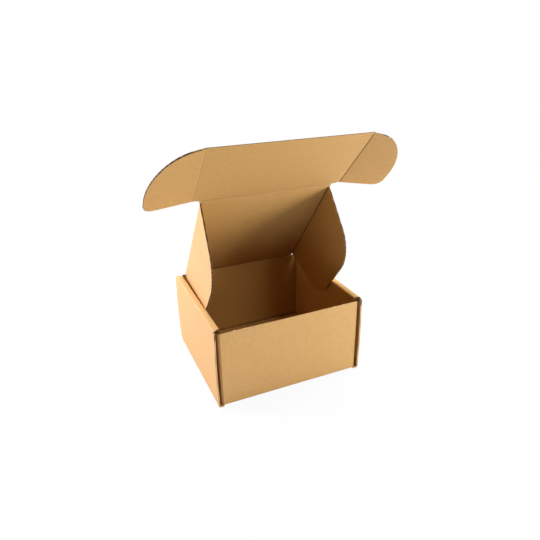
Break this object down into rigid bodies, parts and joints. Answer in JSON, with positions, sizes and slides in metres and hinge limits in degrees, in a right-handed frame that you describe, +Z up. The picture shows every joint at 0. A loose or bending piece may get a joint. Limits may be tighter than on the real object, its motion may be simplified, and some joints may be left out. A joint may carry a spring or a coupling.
{
  "type": "corrugated mailer box",
  "caption": "Folding mailer box of fine-fluted kraft board: a rolled-wall tray, a hinged lid with dust flaps, and a front flap whose ears tuck into the side walls.",
  "frame": {"origin": "centre of the underside of the tray", "axes": "+X to the right across the box, +Y from the front wall to the back wall, +Z up"},
  "size_m": [0.23, 0.1371, 0.2376],
  "materials": {
    "kraft_board": "matte, uncoated brown kraft paper on both faces"
  },
  "bodies": {
    "tray": {"tray": "kraft_board"},
    "lid": {"lid": "kraft_board"},
    "left_dust_flap": {"left_dust_flap": "kraft_board"},
    "right_dust_flap": {"right_dust_flap": "kraft_board"},
    "front_tuck_flap": {"front_tuck_flap": "kraft_board"},
    "left_ear": {"left_ear": "kraft_board"},
    "right_ear": {"right_ear": "kraft_board"}
  },
  "joints": [
    {"name": "lid_hinge", "type": "hinge", "parent": "tray", "child": "lid", "pos_m": [0, 0.06395, 0.0804], "axis": [-1, 0, 0], "range_deg": [-51.6, 128.4]},
    {"name": "left_dust_flap_fold", "type": "hinge", "parent": "lid", "child": "left_dust_flap", "pos_m": [-0.0633, 0.02361, 0.13009], "axis": [0, -0.6211, 0.7837], "range_deg": [0, 75]},
    {"name": "right_dust_flap_fold", "type": "hinge", "parent": "lid", "child": "right_dust_flap", "pos_m": [0.0633, 0.02361, 0.13009], "axis": [0, 0.6211, -0.7837], "range_deg": [0, 75]},
    {"name": "front_flap_fold", "type": "hinge", "parent": "lid", "child": "front_tuck_flap", "pos_m": [0, -0.01717, 0.18275], "axis": [-1, 0, 0], "range_deg": [-83.6, 36.4]},
    {"name": "left_ear_fold", "type": "hinge", "parent": "front_tuck_flap", "child": "left_ear", "pos_m": [-0.07245, -0.04465, 0.21042], "axis": [0, 0.7046, -0.7096], "range_deg": [-84, 36]},
    {"name": "right_ear_fold", "type": "hinge", "parent": "front_tuck_flap", "child": "right_ear", "pos_m": [0.07245, -0.04465, 0.21042], "axis": [0, -0.7046, 0.7096], "range_deg": [-78, 42]}
  ]
}
